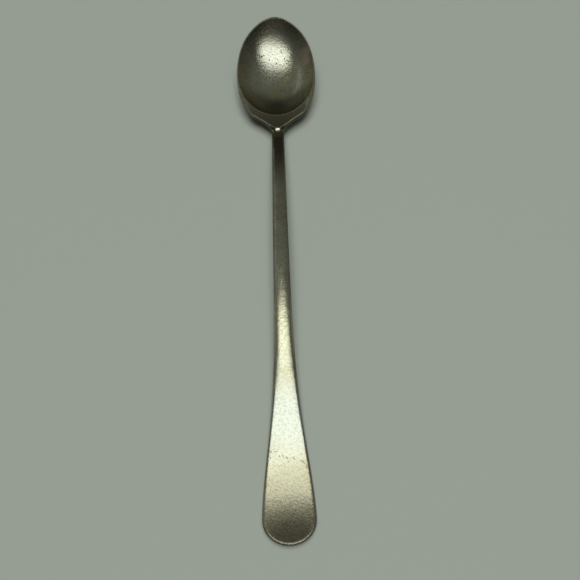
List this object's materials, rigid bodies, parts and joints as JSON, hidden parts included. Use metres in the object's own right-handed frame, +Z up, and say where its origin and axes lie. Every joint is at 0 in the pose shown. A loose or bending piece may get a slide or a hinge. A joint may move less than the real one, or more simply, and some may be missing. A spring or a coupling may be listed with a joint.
{
  "type": "iced tea spoon",
  "caption": "Long-handled spoon with an egg-shaped bowl, a slim arched stem and a flat flared handle, for stirring and sipping tall iced drinks.",
  "frame": {"origin": "centre of the spoon's footprint, on the table that it lies on", "axes": "+Y along the spoon from the handle's end to the bowl's tip, +Z up out of the bowl's hollow, +X to the right"},
  "size_m": [0.032, 0.2066, 0.0139],
  "materials": {
    "silver_plate": "old silver plate on nickel silver, satin with tarnish and fine pits",
    "silver_plate_worn": "old silver plate on nickel silver, rubbed satin by hands"
  },
  "bodies": {
    "root": {"bowl": "silver_plate", "heel": "silver_plate", "stem": "silver_plate", "handle": "silver_plate_worn"}
  },
  "joints": []
}
